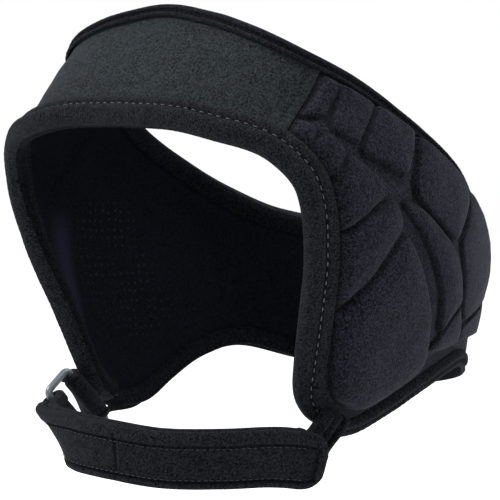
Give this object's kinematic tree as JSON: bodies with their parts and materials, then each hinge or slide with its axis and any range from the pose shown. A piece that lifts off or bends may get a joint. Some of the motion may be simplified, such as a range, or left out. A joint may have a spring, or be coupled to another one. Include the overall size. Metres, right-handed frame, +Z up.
{
  "type": "wrestling ear guard",
  "caption": "Soft open-crowned wrestling headgear: channelled foam ear pads, forehead band, bound edges, nape panel and a chin strap fastened through a plastic ring.",
  "frame": {"origin": "middle of the head hollow, where a head carries the guard", "axes": "+Z up through the open crown, -Y to the face opening, +X to the wearer's left"},
  "size_m": [0.2032, 0.2197, 0.2064],
  "materials": {
    "panel_cloth": "matte",
    "pad_cloth": "matte",
    "binding_cloth": "matte",
    "lining_cloth": "matte",
    "strap_cloth": "matte",
    "ring_plastic": "satin"
  },
  "bodies": {
    "root": {"forehead_panel": "panel_cloth", "ear_pad_left": "pad_cloth", "ear_pad_right": "pad_cloth", "nape_panel": "panel_cloth", "lining": "lining_cloth", "crown_binding": "binding_cloth", "face_binding": "binding_cloth", "lower_binding": "binding_cloth", "chin_strap": "strap_cloth", "strap_ring": "ring_plastic", "ring_tab": "strap_cloth"}
  },
  "joints": []
}
